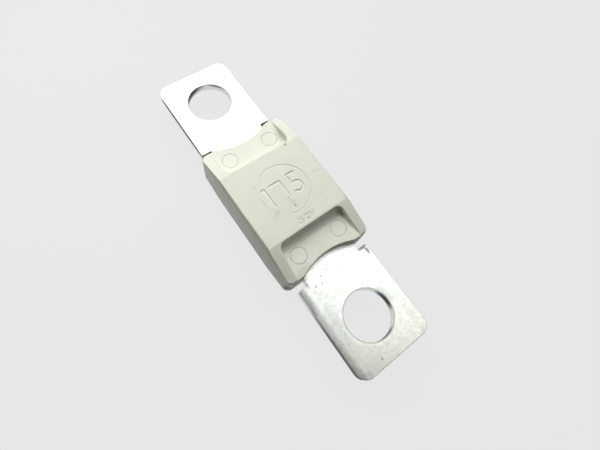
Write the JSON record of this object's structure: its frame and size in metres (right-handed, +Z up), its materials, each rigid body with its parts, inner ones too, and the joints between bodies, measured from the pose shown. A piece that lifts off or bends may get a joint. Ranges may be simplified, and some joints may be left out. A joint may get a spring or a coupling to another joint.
{
  "type": "bolt down strip fuse",
  "caption": "Bolt down strip fuse: a tin-plated strip with a bolt hole in each terminal, clamped in a moulded housing with sunk ends that arch round the washers.",
  "frame": {"origin": "middle of the housing's flat underside, on which the fuse rests", "axes": "+X along the strip from one terminal to the other, +Y across the strip, +Z up, out of the face that carries the rating"},
  "size_m": [0.0666, 0.0178, 0.0108],
  "materials": {
    "housing": "moulded, fine matte grain",
    "strip": "stamped and tin-plated, satin",
    "pill": "pressed tin, dull"
  },
  "bodies": {
    "root": {"housing_lower": "housing", "fuse_strip": "strip", "tin_pill": "pill", "housing_upper": "housing"}
  },
  "joints": []
}
